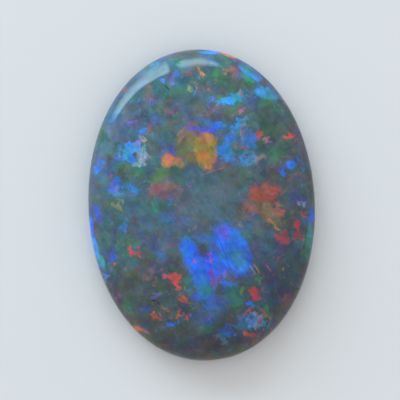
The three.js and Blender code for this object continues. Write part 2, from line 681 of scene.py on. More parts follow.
grain_group, given = new_group(
    "Grain",
    {"Under": "colour", "Place": "vector", "Turn": "vector", "Reach": "vector",
     "Left Out": "number", "Strength": "number"},
    {"Colour": "colour"},
)
group = grain_group
own = own_measure(group, given["Place"], given["Reach"], given["Turn"])
grains = cells(group, own, 1.0)
grain_lots = lots(group, grains["Color"])
present = maths(group, "GREATER_THAN", grain_lots[1], given["Left Out"])
chip = map_range(group, grains["Distance"], CHIP_SOLID_TO, CHIP_GONE_AT, 1.0, 0.0, "SMOOTHSTEP")
shown = maths(group, "MULTIPLY", present, chip)
bright = maths(group, "MULTIPLY", grain_lots[2], shown)
laid = maths(group, "MULTIPLY", bright, given["Strength"])
own_colour = colour_row(group, grain_lots[0], OPAL_ROW, "CONSTANT")
grained = mix_colours(group, given["Under"], own_colour, laid)
add(group, "NodeGroupOutput", {"Colour": grained})
print(f"one layer of grain takes {len(group.nodes)} nodes")

# %% [markdown]
# ## The ground
# The body tone isn't even. It is a quilt of dusky blue, teal, green and slate fields about a
# millimetre across, with smaller fields inside them. Two sizes of cells, dealt from the same row
# of ground colours, are laid over one another, and three sizes of grain and two sets of needles
# come on top.

# %% The ground
GROUND_ROW = [
    (0.00, SLATE), (0.22, TEAL), (0.40, DEEP_TEAL), (0.52, HAZE), (0.66, NAVY), (0.76, SLATE),
    (0.86, MOSS), (0.94, BARK),
]
CALM_TONE = srgb(78, 98, 106)
LARGE_PER_MM = 0.8
SMALL_PER_MM = 2.3
SMALL_SHARE = 0.22
CALM_SHARE = 0.28


def use_group(tree, group, sockets):
    """Places a node group in a tree."""
    return add(tree, "ShaderNodeGroup", sockets, node_tree=group)


paint, tree, shader, output = new_material("play of colour")
coords = add(tree, "ShaderNodeTexCoord").outputs["Object"]
in_mm = scaled(tree, coords, 1 / MM)
torn = use_group(tree, ragged_place, {"Place": in_mm}).outputs
torn_place = torn["Place"]
even_place = torn["Even Place"]


def quilt(scale):
    """Fields of ground colour about 1 / scale mm across."""
    lot = lots(tree, cells(tree, torn_place, scale)["Color"])[0]
    return colour_row(tree, lot, GROUND_ROW)


large_fields = quilt(LARGE_PER_MM)
small_fields = quilt(SMALL_PER_MM)
fields = mix_colours(tree, large_fields, small_fields, SMALL_SHARE)
calm = mix_colours(tree, fields, CALM_TONE, CALM_SHARE)

# The latest layer of colour. Each flash or grain takes it as what lies under it.
layers = [calm]


def grain(turn, reach, left_out, strength):
    """A layer of small patches. Reach is in mm, along and across the turn."""
    node = use_group(tree, grain_group, {
        "Under": layers[-1], "Place": torn_place, "Turn": (0, 0, math.radians(turn)),
        "Reach": (*reach, max(reach)), "Left Out": left_out, "Strength": strength,
    })
    layers.append(node.outputs["Colour"])


grain(15, (1.1, 0.9), 0.55, 0.45)
grain(60, (0.46, 0.40), 0.7, 0.36)
grain(50, (1.3, 0.16), 0.75, 0.34)
grain(-52, (1.5, 0.14), 0.78, 0.34)
grain(0, (0.2, 0.17), 0.78, 0.3)
print(f"the ground has {len(layers)} layers of colour")

# %% [markdown]
# ## Laying a patch
# The patches below are laid one over another, in order. Most have a ragged outline, in the torn
# place. The ones marked straight use the place that is hardly pushed, which keeps a line straight
# and a sheet whole. The three directions of strokes are made once and shared.

# %% Laying a patch
def combed_along(turn, length, width):
    """A field of strokes in one direction, given in degrees."""
    return use_group(tree, stroke_group, {
        "Place": even_place, "Turn": (0, 0, math.radians(turn)), "Length": length, "Width": width,
    }).outputs["Strokes"]


UPRIGHT = combed_along(84, 1.4, 0.08)
LEANING = combed_along(-57, 2.4, 0.07)
RISING = combed_along(42, 1.6, 0.09)

# A frayed outline covers less than the plain one, so every patch is laid a little larger.
SPREAD = 1.08
SOFT_REACH = 1.6


def flash(name, middle, reach, turn, colour, second, soft=0.3, ragged=0.8, strokes=None,
          streak=0.0, strength=1.0, straight=False):
    """Lays one patch of colour. Middle and reach are in mm, and turn is in degrees."""
    lean = math.radians(turn)
    length, width = (half * SPREAD for half in reach)
    node = use_group(tree, flash_group, {
        "Under": layers[-1], "Place": even_place if straight else torn_place,
        "Fray": torn["Fray"], "Shards": torn["Shards"], "Middle": (*middle, 0),
        "Along": (math.cos(lean) / length, math.sin(lean) / length, 0),
        "Across": (-math.sin(lean) / width, math.cos(lean) / width, 0),
        "Solid To": 1 - soft * SOFT_REACH, "Raggedness": ragged, "Streak": streak,
        "Strength": strength, "Colour": colour, "Second Colour": second,
    })
    node.label = name
    if strokes:
        tree.links.new(strokes, node.inputs["Strokes"])
    layers.append(node.outputs["Colour"])


def line(name, middle, reach, turn, colour, second, strength=1.0):
    """Lays a thin patch with a clean, straight outline."""
    flash(name, middle, reach, turn, colour, second, ragged=0.1, strength=strength, straight=True)


print(f"{len(tree.nodes)} nodes before the first patch")

# %% [markdown]
# ## Broad sheets
# The quiet fields come first, about one to seven millimetres long. Six soft casts, each in a tone of its
# own, shift the ground towards brown, olive, rose or a darker grey. Dusky teal, green, slate and navy
# sheets lie on them, and the brighter patches lie on those. A soft grey-blue haze lies over the middle,
# which is the most even part.

# %% Broad sheets
BROWN_CAST = srgb(84, 80, 78)
FOOT_CAST = srgb(78, 74, 76)
DARK_CAST = srgb(62, 66, 70)
WARM_CAST = srgb(92, 82, 88)
OLIVE_CAST = srgb(84, 90, 78)
ROSE_CAST = srgb(104, 92, 98)

flash("brown cast low on the left", (-2.8, -5.2), (3.2, 2.6), 20, BROWN_CAST, MOSS, soft=0.6, strength=0.6)
flash("brown cast at the foot", (0.8, -7.2), (3.4, 1.8), 0, FOOT_CAST, SHADE, soft=0.6, strength=0.6)
flash("dark cast on the right", (4.2, -4.2), (2.0, 2.4), 20, DARK_CAST, NAVY, soft=0.6, strength=0.6)
flash("warm cast on the right", (4.6, 0.6), (2.0, 3.4), 0, WARM_CAST, SHADE, soft=0.6, strength=0.6)
flash("olive cast at the right", (4.2, 4.4), (1.7, 2.2), 0, OLIVE_CAST, MOSS, soft=0.6, strength=0.5)
flash("rose cast at the top", (0.6, 5.6), (2.6, 1.0), 10, ROSE_CAST, SLATE, soft=0.6, strength=0.5)
flash("teal sheet at the top", (-1.45, 6.55), (1.44, 1.04), -5, TEAL, TEAL, soft=0.7)
flash("dark green at the top", (1.1, 7.15), (1.1, 0.56), -15, DEEP_TEAL, TEAL, soft=0.6)
flash("moss on the right", (4.1, 3.95), (1.2, 0.84), 55, MOSS, DEEP_TEAL, soft=0.7)
flash("green strokes on the right", (4.4, 2.8), (0.95, 0.5), 42, LEAF, SEA, strokes=RISING, streak=0.9,
      strength=0.55)
flash("slate on the left", (-3.9, 1.2), (1.32, 2.06), -5, SLATE, TEAL, soft=0.8)
flash("dark slate spot", (-3, 1.25), (0.52, 0.68), 75, SHADE, SLATE, soft=0.4)
flash("moss on the left", (-4.45, 1.95), (0.52, 0.4), -5, MOSS, SHADE, soft=0.5)
flash("haze in the middle", (0.75, 0.25), (2.06, 1.44), 55, HAZE, SLATE, soft=0.9, ragged=0.4)
flash("haze below the gold", (-0.15, 1.25), (1.44, 0.84), 5, SLATE, TEAL, soft=0.7)
flash("navy sheet on the right", (3.65, -2.85), (1.58, 0.92), -25, NAVY, SLATE, soft=0.6)
flash("moss low on the left", (-2.15, -4.25), (1.1, 0.96), 15, MOSS, DEEP_TEAL, soft=0.6)
flash("dark sheet low on the right", (4.25, -5.05), (1.32, 1.1), 35, SHADE, NAVY, soft=0.6)
flash("smoke at the lower end", (0.35, -8.25), (2.8, 0.96), -5, SMOKE, SHADE, soft=0.7)
print(f"broad sheets: {len(layers)} layers")

# %% [markdown]
# ## Upper left
# Small blue and rose patches lie scattered under the highlight.

# %% Upper left
flash("pink haze at the top left", (-2.7, 6.4), (0.75, 0.36), 78, TAN, TEAL, soft=0.6, strokes=UPRIGHT,
      streak=0.7, strength=0.7)
flash("rose patch", (-1.6, 5.25), (0.32, 0.16), 5, ROSEWOOD, CORAL, strength=0.6)
flash("blue dot at the top", (-1, 7.55), (0.24, 0.24), -5, CORNFLOWER, VIOLET, ragged=0.5)
flash("lilac tail of the dot", (-1.3, 7.15), (0.16, 0.4), -25, LILAC, SLATE, strength=0.6)
flash("pale spot at the top", (-1.9, 7.15), (0.16, 0.16), -5, SKY, CORNFLOWER, ragged=0.4)
flash("blue patch on the left", (-2.35, 4.9), (0.28, 0.24), -5, CORNFLOWER, SLATE, strength=0.6)
flash("lilac patch on the left", (-3.85, 4.8), (0.22, 0.16), -5, LILAC, CORNFLOWER, strength=0.7)
flash("blue spot on the left", (-3.1, 4.25), (0.22, 0.16), -5, CORNFLOWER, AZURE, strength=0.7)
flash("blue field on the left", (-4.45, 5.25), (0.6, 0.72), 55, DUSK_BLUE, SLATE, soft=0.8, strength=0.6)
flash("sea patch on the left", (-3.05, 3.8), (0.72, 0.36), 25, SEA, SLATE, soft=0.8, strength=0.5)
print(f"upper left: {len(layers)} layers")

# %% [markdown]
# ## The bright cluster on the left
# A pale blue wing with a pink tip and a yellow foot, and a brown fleck at its heart.

# %% The bright cluster on the left
flash("cluster tip", (-4.45, 2.9), (0.32, 0.28), -5, ROYAL, LILAC)
flash("cluster sky blue", (-3.9, 3.2), (0.68, 0.36), 25, AZURE, SKY, soft=0.2)
flash("cluster deep blue", (-3.95, 2.7), (0.4, 0.22), -5, AZURE, CORNFLOWER)
flash("cluster pink", (-3.3, 3.6), (0.32, 0.16), 30, PINK, LILAC, ragged=0.6)
flash("cluster green", (-3.65, 3.35), (0.32, 0.16), 25, LEAF, SKY, strength=0.6)
flash("cluster yellow", (-3.55, 2.4), (0.36, 0.18), 5, SAND, SKY, strength=0.8)
flash("cluster pale strokes", (-3.15, 2.8), (0.56, 0.27), 80, SAND, SKY, strokes=UPRIGHT, streak=0.6)
flash("cluster dark heart", (-3.55, 3.05), (0.16, 0.12), -5, BARK, SHADE, strength=0.9)
flash("blue spot by the left edge", (-5.7, 2.5), (0.28, 0.22), 75, AZURE, CORNFLOWER)
flash("blue haze by the left edge", (-5.45, 2), (0.48, 0.36), 65, DUSK_BLUE, SLATE, soft=0.8, strength=0.6)
print(f"the bright cluster on the left: {len(layers)} layers")

# %% [markdown]
# ## The gold sheets
# The calmest colour of the stone: gold and brown sheets combed upright, two orange spots at
# their foot and a violet blue band above.

# %% The gold sheets
flash("brown gold sheet", (-0.55, 3.3), (1.08, 0.82), 85, BRASS, OLIVE, soft=0.25, ragged=0.6,
      strokes=UPRIGHT, streak=0.5, straight=True)
flash("gold sheet", (0.42, 2.95), (1.05, 0.6), 86, GOLD, AMBER, soft=0.2, ragged=0.65, strokes=UPRIGHT,
      streak=0.4, straight=True)
flash("olive side of the gold", (0.8, 3.05), (0.7, 0.16), 84, OLIVE, GOLD, soft=0.5, strength=0.7,
      straight=True)
flash("orange edge of the gold", (-0.95, 3.95), (0.5, 0.08), 52, AMBER, TAN, ragged=0.5, strength=0.75)
flash("top edge of the gold", (-0.35, 4.4), (0.38, 0.1), 15, TAN, RUST, ragged=0.5, strength=0.75)
line("rose line under the gold", (0.75, 1.75), (0.75, 0.03), 15, TAN, ORANGE, strength=0.7)
flash("orange spot", (-1.8, 2.5), (0.38, 0.36), 80, ORANGE, AMBER, soft=0.2, ragged=1.1, strokes=UPRIGHT,
      streak=0.25, straight=True)
flash("orange spot beside it", (-1.15, 2.35), (0.34, 0.22), -60, AMBER, TAN, soft=0.2, ragged=0.9,
      straight=True)
flash("green between the spots", (-1.45, 2.55), (0.1, 0.28), -5, OLIVE, LEAF, strength=0.6)
flash("violet band over the gold", (0.6, 4.2), (1.14, 0.16), 0, ROYAL, VIOLET, soft=0.4)
flash("blue end of the band", (1.15, 4.35), (0.48, 0.22), -20, AZURE, ROYAL)
flash("band above the gold", (0.5, 4.6), (0.84, 0.16), -20, DUSK_BLUE, ROYAL, soft=0.7, strength=0.5)
print(f"the gold sheets: {len(layers)} layers")

# %% [markdown]
# ## Left middle
# A tan patch with a green crown, a lilac patch nearer the edge and thin blue strokes.

# %% Left middle
flash("green patch", (-2.3, 1.6), (0.72, 0.44), 40, LEAF, OLIVE, soft=0.4, ragged=0.7, strength=0.8,
      straight=True)
flash("tan patch", (-2.05, 0.8), (0.86, 0.44), -5, TAN, ROSEWOOD, soft=0.2, ragged=1.1, strokes=UPRIGHT,
      streak=0.25, straight=True)
flash("tan patch right end", (-1.35, 0.7), (0.36, 0.44), -5, ROSEWOOD, SLATE, strength=0.5)
flash("rose stroke in the middle", (-1.2, -0.3), (0.4, 0.16), 60, ROSEWOOD, SLATE, strength=0.6)
flash("lilac patch low on the left", (-4.95, 1.05), (0.56, 0.24), -25, LILAC, CORNFLOWER, soft=0.5)
flash("blue top of the lilac", (-4.7, 1.35), (0.36, 0.16), -25, AZURE, CORNFLOWER)
flash("pale foot of the lilac", (-4.85, 0.7), (0.34, 0.22), -5, SKY, SEA, strength=0.5)
flash("blue stroke on the left", (-3.8, 0.9), (0.58, 0.12), -40, CORNFLOWER, AZURE, strength=0.7)
flash("yellow green patch", (-4.7, 0.15), (0.28, 0.28), 55, SAND, LEAF, strength=0.5)
flash("violet mark by the edge", (-5.95, -0.4), (0.48, 0.16), -80, VIOLET, ROYAL, strength=0.8)
flash("violet hook by the edge", (-6.15, -0.05), (0.32, 0.1), 5, VIOLET, ROYAL, strength=0.7)
flash("blue spot low on the left", (-4.5, -1.15), (0.22, 0.12), 80, AZURE, CORNFLOWER, strength=0.7)
flash("blue strokes low on the left", (-5.15, -2.8), (0.32, 0.16), -65, ROYAL, CORNFLOWER, strength=0.7)
print(f"left middle: {len(layers)} layers")

# %% [markdown]
# ## Reds on the left
# Two small ragged reds, each under a millimetre long, with rose and brown haze near them.

# %% Reds on the left
flash("red star", (-4.15, -2.55), (0.24, 0.18), 55, CORAL, RED, soft=0.15, ragged=1.6)
flash("red star foot", (-3.9, -2.75), (0.16, 0.1), -35, CORAL, RED)
flash("orange dot", (-4.95, -3.2), (0.1, 0.08), -5, ORANGE, CORAL)
flash("red patch", (-1.85, -4.25), (0.42, 0.24), -15, RED, CORAL, soft=0.12, ragged=1.5)
flash("red patch foot", (-1.6, -4.65), (0.24, 0.1), -60, CORAL, RED, soft=0.15, ragged=1.4)
flash("rose haze over the red", (-1.9, -2.25), (0.6, 0.12), 5, ROSEWOOD, SLATE, strength=0.6)
flash("brown haze over the red", (-3.05, -3.3), (0.84, 0.16), 5, ROSEWOOD, BARK, soft=0.6, strength=0.5)
flash("tan patch by the red", (-3.15, -3.7), (0.36, 0.2), 35, TAN, BARK, strength=0.5)
print(f"reds on the left: {len(layers)} layers")

# %% [markdown]
# ## The large blue flash
# The largest flash: a blue foot with two arms round a dark eye, and a violet blue lobe that is
# combed along its length. Thin straight lines run beside the lobe, and small magenta spots sit at
# the foot of the flash.

# %% The large blue flash
flash("blue flash left arm", (-0.75, -2.95), (1.0, 0.52), -70, AZURE, BLUE, soft=0.3, ragged=0.7,
      straight=True)
flash("blue flash top arc", (0.2, -2.1), (0.85, 0.34), -10, DUSK_BLUE, CORNFLOWER, soft=0.4, ragged=0.7,
      strength=0.85, straight=True)
flash("blue flash body", (0.4, -3.5), (1.15, 0.92), 35, BLUE, ROYAL, soft=0.3, ragged=0.7, strokes=RISING,
      streak=0.35, straight=True)
flash("blue flash tail", (-0.1, -4.3), (1.0, 0.62), -66, AZURE, BLUE, soft=0.3, ragged=0.7, strokes=UPRIGHT,
      streak=0.3, straight=True)
flash("blue flash foot", (-0.1, -5.0), (0.4, 0.3), 0, TURQUOISE, SEA, soft=0.4, ragged=0.7, straight=True)
flash("violet lobe", (1.62, -2.75), (1.5, 0.84), -65, BLUE, AZURE, soft=0.2, ragged=0.6, strokes=LEANING,
      streak=0.38, straight=True)
flash("azure foot of the lobe", (2.0, -3.4), (0.74, 0.42), -72, AZURE, SKY, soft=0.5, ragged=0.6,
      strokes=LEANING, streak=0.4, strength=0.8, straight=True)
flash("lilac tip of the lobe", (1.15, -1.75), (0.46, 0.3), -60, VIOLET, LILAC, soft=0.3, ragged=0.7,
      straight=True)
flash("dark eye of the flash", (-0.05, -2.65), (0.48, 0.34), -80, SHADE, BARK, soft=0.4, ragged=0.9,
      strength=0.85, straight=True)
flash("navy beside the eye", (0.65, -2.65), (0.45, 0.28), -50, NAVY, DUSK_BLUE, soft=0.5, ragged=0.5,
      strength=0.7, straight=True)
line("line beside the lobe", (2.75, -3.3), (0.95, 0.03), -57, TEAL, LEAF, strength=0.8)
line("second line beside it", (3.1, -3.25), (0.95, 0.03), -57, TEAL, OLIVE, strength=0.7)
line("orange line", (2.7, -3.95), (0.36, 0.03), -58, ORANGE, SAND)
line("second orange line", (2.95, -3.9), (0.38, 0.04), -58, ORANGE, AMBER)
line("third orange line", (3.62, -3.9), (0.26, 0.03), -56, ORANGE, RUST)
flash("magenta spots left", (0.5, -4.35), (0.45, 0.22), 75, MAGENTA, ROYAL, soft=0.3, ragged=0.9)
flash("magenta spots right", (1, -4.3), (0.45, 0.18), 60, MAGENTA, LILAC, soft=0.3, ragged=0.9)
flash("red fleck in the flash", (0.25, -3.15), (0.16, 0.08), 80, CORAL, MAGENTA)
flash("red fleck left of it", (-0.45, -3.35), (0.16, 0.1), 75, CORAL, MAGENTA, strength=0.7)
flash("dark seam of the flash", (1.1, -2.8), (1.1, 0.035), -70, NAVY, ROYAL, ragged=0.15, strength=0.8,
      straight=True)
flash("green beside the tail", (-0.95, -4.6), (0.56, 0.2), -75, SEA, DEEP_TEAL, soft=0.5)
print(f"the large blue flash: {len(layers)} layers")

# %% [markdown]
# ## Below the flash
# Fainter blue and teal sheets carry the blue on towards the lower end.

# %% Below the flash
flash("blue field left", (-0.5, -5.25), (0.4, 0.32), -5, ROYAL, CORNFLOWER, strength=0.8)
flash("blue field middle", (0.35, -5.5), (0.72, 0.4), -35, DUSK_BLUE, AZURE, soft=0.5, strength=0.6)
flash("blue field right", (1.4, -4.8), (0.58, 0.24), -15, CORNFLOWER, AZURE, strength=0.7)
flash("teal sheet below", (1.65, -5.35), (0.64, 0.56), 15, SEA, TEAL, soft=0.25, strength=0.9)
flash("blue sheet low", (-0.05, -6.6), (0.72, 0.64), -5, ROYAL, DUSK_BLUE, soft=0.6, strength=0.4)
flash("blue sheet lower", (0.45, -5.95), (0.72, 0.48), -5, DUSK_BLUE, CORNFLOWER, soft=0.6, strength=0.7)
flash("green foot of the blue", (-0.1, -7.15), (0.4, 0.28), -5, SEA, LEAF, strength=0.7)
print(f"below the flash: {len(layers)} layers")

# %% [markdown]
# ## The cluster at the lower right
# A sky blue patch laced with coral threads, and reds above and below it.

# %% The cluster at the lower right
flash("teal sheet of the cluster", (2.05, -6.85), (0.48, 0.52), -5, TURQUOISE, DUSK_BLUE, soft=0.4,
      strength=0.7)
flash("cyan sheet of the cluster", (2.85, -6.9), (0.6, 0.36), -15, SKY, ICE, soft=0.25, ragged=0.6)
flash("green side of the cluster", (3.35, -6.35), (0.16, 0.4), -5, LEAF, SEA, strength=0.7)
flash("azure dot over the cluster", (2.55, -6), (0.22, 0.24), -5, BLUE, AZURE, ragged=0.5)
flash("coral threads left", (2.2, -6.45), (0.34, 0.05), 50, CORAL, MAGENTA, ragged=1)
flash("coral threads middle", (2.75, -6.5), (0.44, 0.05), -25, CORAL, ORANGE, ragged=1)
flash("coral threads right", (3.15, -6.4), (0.36, 0.05), -60, RED, CORAL, ragged=1)
flash("pink threads low", (2.9, -6.9), (0.34, 0.04), 25, PINK, CORAL, ragged=0.8)
flash("pink spot in the cluster", (3.1, -6.85), (0.16, 0.12), -5, PINK, CORAL)
flash("red spot over the cluster", (2.75, -5.3), (0.28, 0.24), -25, CRIMSON, RED, ragged=1.3)
flash("red spot under the cluster", (2.45, -7.6), (0.28, 0.18), -15, RED, ORANGE, ragged=1.3)
flash("brown under the cluster", (2.9, -7.55), (0.48, 0.24), 25, BARK, ROSEWOOD, strength=0.6)
flash("blue patch low", (1.15, -7.4), (0.4, 0.32), 55, CORNFLOWER, ROYAL, strength=0.8)
flash("sky patch low", (0.65, -7.8), (0.32, 0.16), -35, SKY, SEA, strength=0.7)
flash("green dot over the cluster", (2.15, -5.05), (0.16, 0.12), 55, LEAF, LIME)
flash("green strokes over it", (2.95, -4.45), (0.28, 0.1), 15, LEAF, SEA, strength=0.8)
flash("rust patch by the right edge", (4.55, -5.75), (0.6, 0.34), 55, RUST, BARK, soft=0.4, strength=0.8)
print(f"the cluster at the lower right: {len(layers)} layers")

# %% [markdown]
# ## Right middle
# A red cloud that turns to gold and ends in a bright orange foot with a green line under it.

# %% Right middle
flash("red cloud", (3.65, 0.3), (0.92, 0.64), 12, RED_CLAY, RUST, soft=0.4, ragged=0.9, strokes=RISING,
      streak=0.3)
flash("crimson edge of the cloud", (4.3, 0.5), (0.48, 0.16), 75, CRIMSON, RED_CLAY)
flash("rust left of the cloud", (2.7, -0.35), (0.6, 0.28), -45, RED_CLAY, RUST, soft=0.5, strength=0.6)
flash("gold under the cloud", (3.9, -0.85), (0.85, 0.42), -30, AMBER, OLIVE, soft=0.45, ragged=0.6,
      strokes=LEANING, streak=0.3, strength=0.7)
flash("orange under the cloud", (4.4, -0.6), (0.4, 0.28), -35, RED_CLAY, ORANGE, strength=0.7)
flash("bright orange foot", (4.05, -1.45), (0.44, 0.12), -35, ORANGE, AMBER, ragged=0.6)
flash("green line under it", (4.15, -1.6), (0.52, 0.08), -30, LEAF, OLIVE, ragged=0.5, strength=0.8)
flash("brown haze left", (2.15, -1.05), (0.72, 0.48), 25, BARK, ROSEWOOD, soft=0.8, strength=0.5)
flash("rose haze near the haze", (1.45, -0.3), (0.36, 0.22), 55, ROSEWOOD, SLATE, strength=0.5)
print(f"right middle: {len(layers)} layers")

# %% [markdown]
# ## Reds on the right
# Crimson leaves and red grains between the cloud and the right edge, and a small flag and a pink
# ring above.

# %% Reds on the right
flash("crimson leaf", (4.55, -2.2), (0.4, 0.28), -70, CRIMSON, RED_CLAY, strength=0.85)
flash("red leaf", (5.35, -2.2), (0.28, 0.16), 15, RED, CRIMSON)
flash("red thread", (5.35, -1.55), (0.34, 0.12), -75, RED, CRIMSON, ragged=1.4)
flash("red grain upper", (6.05, -0.6), (0.2, 0.1), -5, RED, CRIMSON)
flash("red grain left", (5.6, -0.7), (0.16, 0.12), -5, RED_CLAY, CRIMSON)
flash("red grain middle", (5.9, -1.1), (0.2, 0.08), -65, RED_CLAY, RED)
flash("red flag", (5.15, 3.5), (0.3, 0.13), -65, RED, ORANGE, ragged=0.9)
flash("red flag right", (5.5, 3.65), (0.16, 0.1), -50, RED, CORAL, ragged=0.9)
flash("pink ring", (3.4, 3.72), (0.23, 0.23), 0, CORAL, RED, ragged=1.2)
flash("dark heart of the ring", (3.42, 3.7), (0.09, 0.08), 0, SHADE, NAVY, ragged=0.6, strength=0.8)
flash("pink patch right", (3.95, 3.35), (0.26, 0.14), 15, PINK, CORAL, ragged=0.6, strength=0.6)
flash("orange by the right edge", (5.55, 4.35), (0.2, 0.12), -65, ORANGE, RUST, strength=0.6)
flash("rust over the cloud", (5.3, 1.25), (0.48, 0.16), 15, RUST, BARK, strength=0.6)
print(f"reds on the right: {len(layers)} layers")

# %% [markdown]
# ## Blues on the right
# A blue ring with a dark eye, and drops and grains round it.

# %% Blues on the right
flash("blue ring", (5.2, 1.95), (0.33, 0.28), 0, CORNFLOWER, AZURE, ragged=0.4, straight=True)
flash("dark eye of the ring", (5.22, 1.97), (0.12, 0.08), 0, NAVY, ROYAL, strength=0.5, straight=True)
flash("blue arc by the ring", (5.6, 2.2), (0.28, 0.08), -35, AZURE, CORNFLOWER, strength=0.8)
flash("blue grain by the ring", (5.85, 1.75), (0.12, 0.1), -5, AZURE, SKY)
flash("blue drop by the ring", (4.7, 1.5), (0.28, 0.1), 80, ROYAL, AZURE)
flash("violet loop on the right", (5.5, 0.1), (0.4, 0.28), -65, VIOLET, NAVY, ragged=1.6, strength=0.6)
flash("sky grain on the right", (5.6, -0.2), (0.2, 0.16), 25, SKY, PINK, strength=0.8)
print(f"blues on the right: {len(layers)} layers")

# %% [markdown]
# ## The mosaic at the upper right
# A crowd of blue, sky, green and peach pieces, about half a millimetre to one and a half long.

# %% The mosaic at the upper right
flash("blue patch top", (2.0, 5.85), (0.72, 0.26), 22, AZURE, SKY, soft=0.2)
flash("blue patch right part", (2.4, 5.95), (0.36, 0.32), 55, SKY, TURQUOISE, soft=0.2)
flash("green over the patch", (1.65, 6.15), (0.52, 0.16), 20, LEAF, SEA, strength=0.7)
flash("green under the patch", (2.3, 5.5), (0.48, 0.12), 15, SEA, LEAF, strength=0.7)
flash("violet left of the patch", (0.9, 5.85), (0.28, 0.2), 45, CORNFLOWER, LILAC)
flash("pink corner of the patch", (2.5, 6.2), (0.28, 0.12), -55, PINK, LIME, strength=0.7)
flash("magenta spot", (2.55, 5.2), (0.24, 0.12), 65, MAGENTA, PINK)
flash("olive haze", (2.1, 5.1), (0.72, 0.2), 5, OLIVE, RUST, soft=0.6, strength=0.6)
flash("rose patches", (0.8, 5.2), (0.72, 0.24), 15, ROSEWOOD, CORAL, soft=0.6, ragged=1.6, strength=0.5)
flash("cyan patch at the top", (3.15, 7.45), (0.74, 0.3), -38, AZURE, SKY, soft=0.15, ragged=0.6,
      straight=True)
flash("sea under the cyan", (2.95, 7.12), (0.46, 0.18), -38, SEA, TURQUOISE, ragged=0.5, strength=0.8,
      straight=True)
flash("cyan patch on the right", (4.15, 6.1), (0.7, 0.32), -15, SKY, AZURE, soft=0.2, ragged=0.9,
      straight=True)
flash("green under the cyan", (4.25, 5.5), (0.68, 0.4), -25, LEAF, SEA, soft=0.6, strength=0.7)
flash("navy left of the cyan", (3, 5.7), (0.6, 0.4), -5, NAVY, DUSK_BLUE, soft=0.6, strength=0.7)
flash("mosaic top", (2.4, 4.45), (0.5, 0.24), 28, SKY, AZURE)
flash("mosaic left", (1.75, 3.45), (0.52, 0.3), 60, AZURE, CORNFLOWER, ragged=0.6, strokes=LEANING,
      streak=0.4)
flash("mosaic lower left", (1.4, 2.8), (0.55, 0.3), -22, AZURE, CORNFLOWER, ragged=0.7)
flash("mosaic middle", (2.45, 3.85), (0.4, 0.72), 75, DUSK_BLUE, SKY, strokes=UPRIGHT, streak=0.7)
flash("mosaic peach strokes", (2.55, 4), (0.56, 0.12), 75, TAN, PINK, strokes=UPRIGHT, streak=0.5,
      strength=0.7)
flash("mosaic pink line", (2.45, 3.05), (0.44, 0.12), -5, CORAL, ROSEWOOD, strength=0.7)
flash("mosaic right", (2.95, 3.35), (0.52, 0.22), 75, CORNFLOWER, SEA)
flash("mosaic foot", (2.8, 2.35), (0.68, 0.4), 5, DUSK_BLUE, SKY, soft=0.5, strength=0.8)
flash("mosaic peach foot", (3.4, 2.4), (0.28, 0.16), 15, TAN, SAND, strength=0.7)
print(f"the mosaic at the upper right: {len(layers)} layers")

# %% [markdown]
# ## The top edge
# Small flecks near the top edge, inside the rim.

# %% The top edge
flash("orange fleck", (0.3, 7.5), (0.28, 0.12), -85, ORANGE, AMBER, strokes=UPRIGHT, streak=0.4)
flash("orange haze left of it", (-0.3, 7.65), (0.36, 0.16), -5, ROSEWOOD, RUST, strength=0.6)
flash("green fleck", (1.2, 7.45), (0.22, 0.2), -5, SEA, LEAF, strength=0.8)
flash("rust fleck", (2.05, 7.45), (0.28, 0.2), -15, RUST, AMBER, strength=0.6)
flash("sand fleck", (-0.35, 6.55), (0.28, 0.08), 75, SAND, LEAF, strength=0.8)
flash("orange drop", (0.05, 6.65), (0.34, 0.06), 80, AMBER, ORANGE)
flash("blue drop", (-0.1, 6.25), (0.22, 0.08), 70, AZURE, SKY, strength=0.8)
print(f"the top edge: {len(layers)} layers")

# %% [markdown]
# ## The lower left
# Small flecks towards the lower left edge.

# %% The lower left
flash("green patch low", (-4.5, -5.7), (0.46, 0.28), -70, LEAF, SEA, soft=0.4)
flash("blue dot low", (-2, -6.8), (0.22, 0.18), 15, BLUE, AZURE, ragged=0.8)
flash("red stroke low", (-3.05, -6.45), (0.28, 0.12), 40, RED, CORAL)
flash("red spot low", (-2.75, -6.4), (0.12, 0.1), -5, CORAL, CRIMSON, strength=0.7)
flash("blue spot low left", (-3.6, -5.7), (0.2, 0.08), 15, ROYAL, VIOLET, strength=0.8)
flash("lilac spot low left", (-2.75, -5.15), (0.28, 0.1), 10, LILAC, ROYAL, strength=0.7)
flash("orange strokes low", (-2.4, -5.8), (0.46, 0.08), -30, RUST, ORANGE, strength=0.7)
flash("coral stroke by the edge", (-5.05, -4.75), (0.28, 0.08), -80, CORAL, RUST, strength=0.6)
flash("red spots low one", (-1.55, -6.2), (0.28, 0.1), 5, RED_CLAY, CORAL, ragged=1.8)
flash("red spots low two", (-1.15, -5.5), (0.32, 0.08), -35, RED_CLAY, CORAL, ragged=1.8)
flash("red spots low three", (-1.05, -6.5), (0.22, 0.12), 15, CORAL, RED, ragged=1.6)
flash("lime spot low", (-0.85, -6), (0.12, 0.1), -5, LIME, OLIVE)
print(f"the lower left: {len(layers)} layers")

# %% [markdown]
# ## The rim
# Near the edge the colour body is seen through the steep shoulder and a longer way of clear stone, so the
# flashes fade into a dusky band. That band is painted shade in the colour body, slate blue on the left and
# grey on the right. At the foot it is a lighter brownish grey, a painted glow of light coming through the
# rim.

# %% The rim
RIM_STARTS = 0.905
RIM_FULL = 0.975
RIM_STRENGTH = 0.7
RIM_WOBBLE = 0.035
# Painted rim shade on the left and right, and a painted glow of light through the rim at the foot.
LEFT_RIM_SHADE = srgb(74, 96, 112)
RIGHT_RIM_SHADE = srgb(88, 88, 92)
FOOT_RIM_GLOW = srgb(106, 97, 90)
LEFT_TO_RIGHT = (-0.5, 0.5)
MIDDLE_TO_FOOT = (0.1, -0.7)
NO_HEIGHT = 1e6    # so large a size that the height no longer counts

